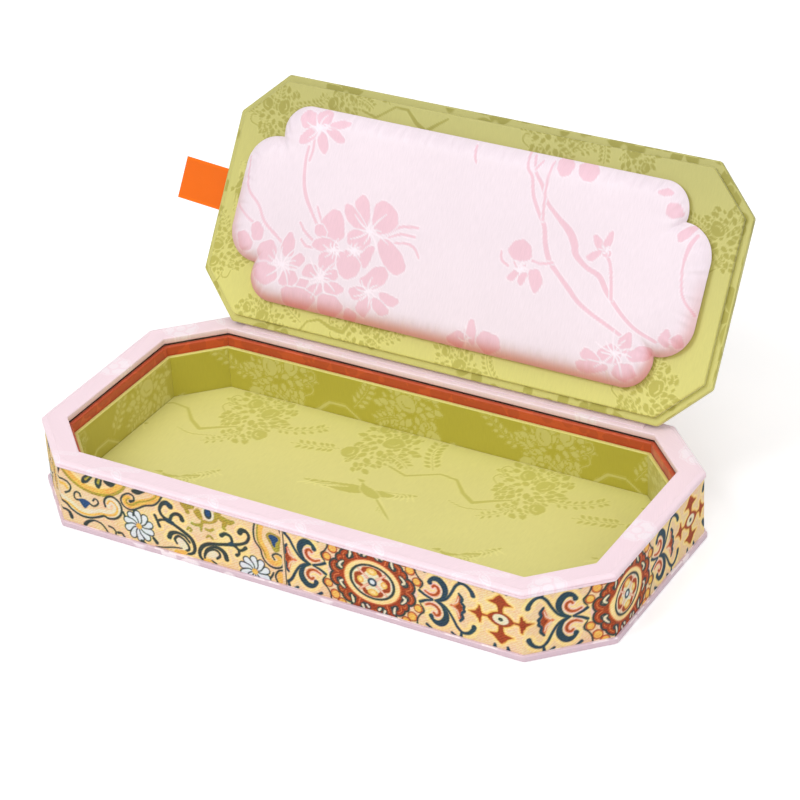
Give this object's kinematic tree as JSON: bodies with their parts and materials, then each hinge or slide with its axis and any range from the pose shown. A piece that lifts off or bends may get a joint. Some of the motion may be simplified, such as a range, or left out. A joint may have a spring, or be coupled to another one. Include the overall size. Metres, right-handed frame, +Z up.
{
  "type": "octagonal brocade keepsake box",
  "caption": "Long eight-sided keepsake box wrapped in brocade and satin, with a lined tray, a recessed padded lid on a cloth hinge and a ribbon pull.",
  "frame": {"origin": "middle of the footprint of the box, on the plane that it stands on", "axes": "+X along the box's length to the right, +Y to the back where the hinge is, +Z up; drawn with the lid open"},
  "size_m": [0.2388, 0.1622, 0.1075],
  "materials": {
    "pink_satin": "pale pink jacquard satin with tonal blossom",
    "green_satin": "yellow-green jacquard satin with tonal branches",
    "rust_brocade": "rust silk brocade",
    "brocade": "woven brocade, gold ground with navy, rust and white scrolls",
    "orange_ribbon": "orange satin ribbon",
    "grey_board": "bare paperboard"
  },
  "bodies": {
    "box": {"base_board": "pink_satin", "wall_front": "grey_board", "wall_front_right": "grey_board", "wall_right": "grey_board", "wall_back_right": "grey_board", "wall_back": "grey_board", "wall_back_left": "grey_board", "wall_left": "grey_board", "wall_front_left": "grey_board", "brocade_strip_left": "brocade", "brocade_strip_right": "brocade", "rim_frame": "pink_satin", "liner_front": "rust_brocade", "liner_front_right": "rust_brocade", "liner_right": "rust_brocade", "liner_back_right": "rust_brocade", "liner_back": "rust_brocade", "liner_back_left": "rust_brocade", "liner_left": "rust_brocade", "liner_front_left": "rust_brocade", "tray_front": "green_satin", "tray_front_right": "green_satin", "tray_right": "green_satin", "tray_back_right": "green_satin", "tray_back": "green_satin", "tray_back_left": "green_satin", "tray_left": "green_satin", "tray_front_left": "green_satin", "floor_card": "grey_board", "floor_pad": "green_satin", "hinge_rim_leaf": "pink_satin"},
    "lid": {"lid_board": "green_satin", "lid_inner_plate": "green_satin", "cushion_card": "grey_board", "lid_cushion": "pink_satin", "lid_padded_top": "brocade", "ribbon_pull": "orange_ribbon", "hinge_lid_leaf": "pink_satin"}
  },
  "joints": [
    {"name": "lid_hinge", "type": "hinge", "parent": "box", "child": "lid", "pos_m": [0, 0.05003, 0.02594], "axis": [1, 0, 0], "range_deg": [0, 123.5]}
  ]
}
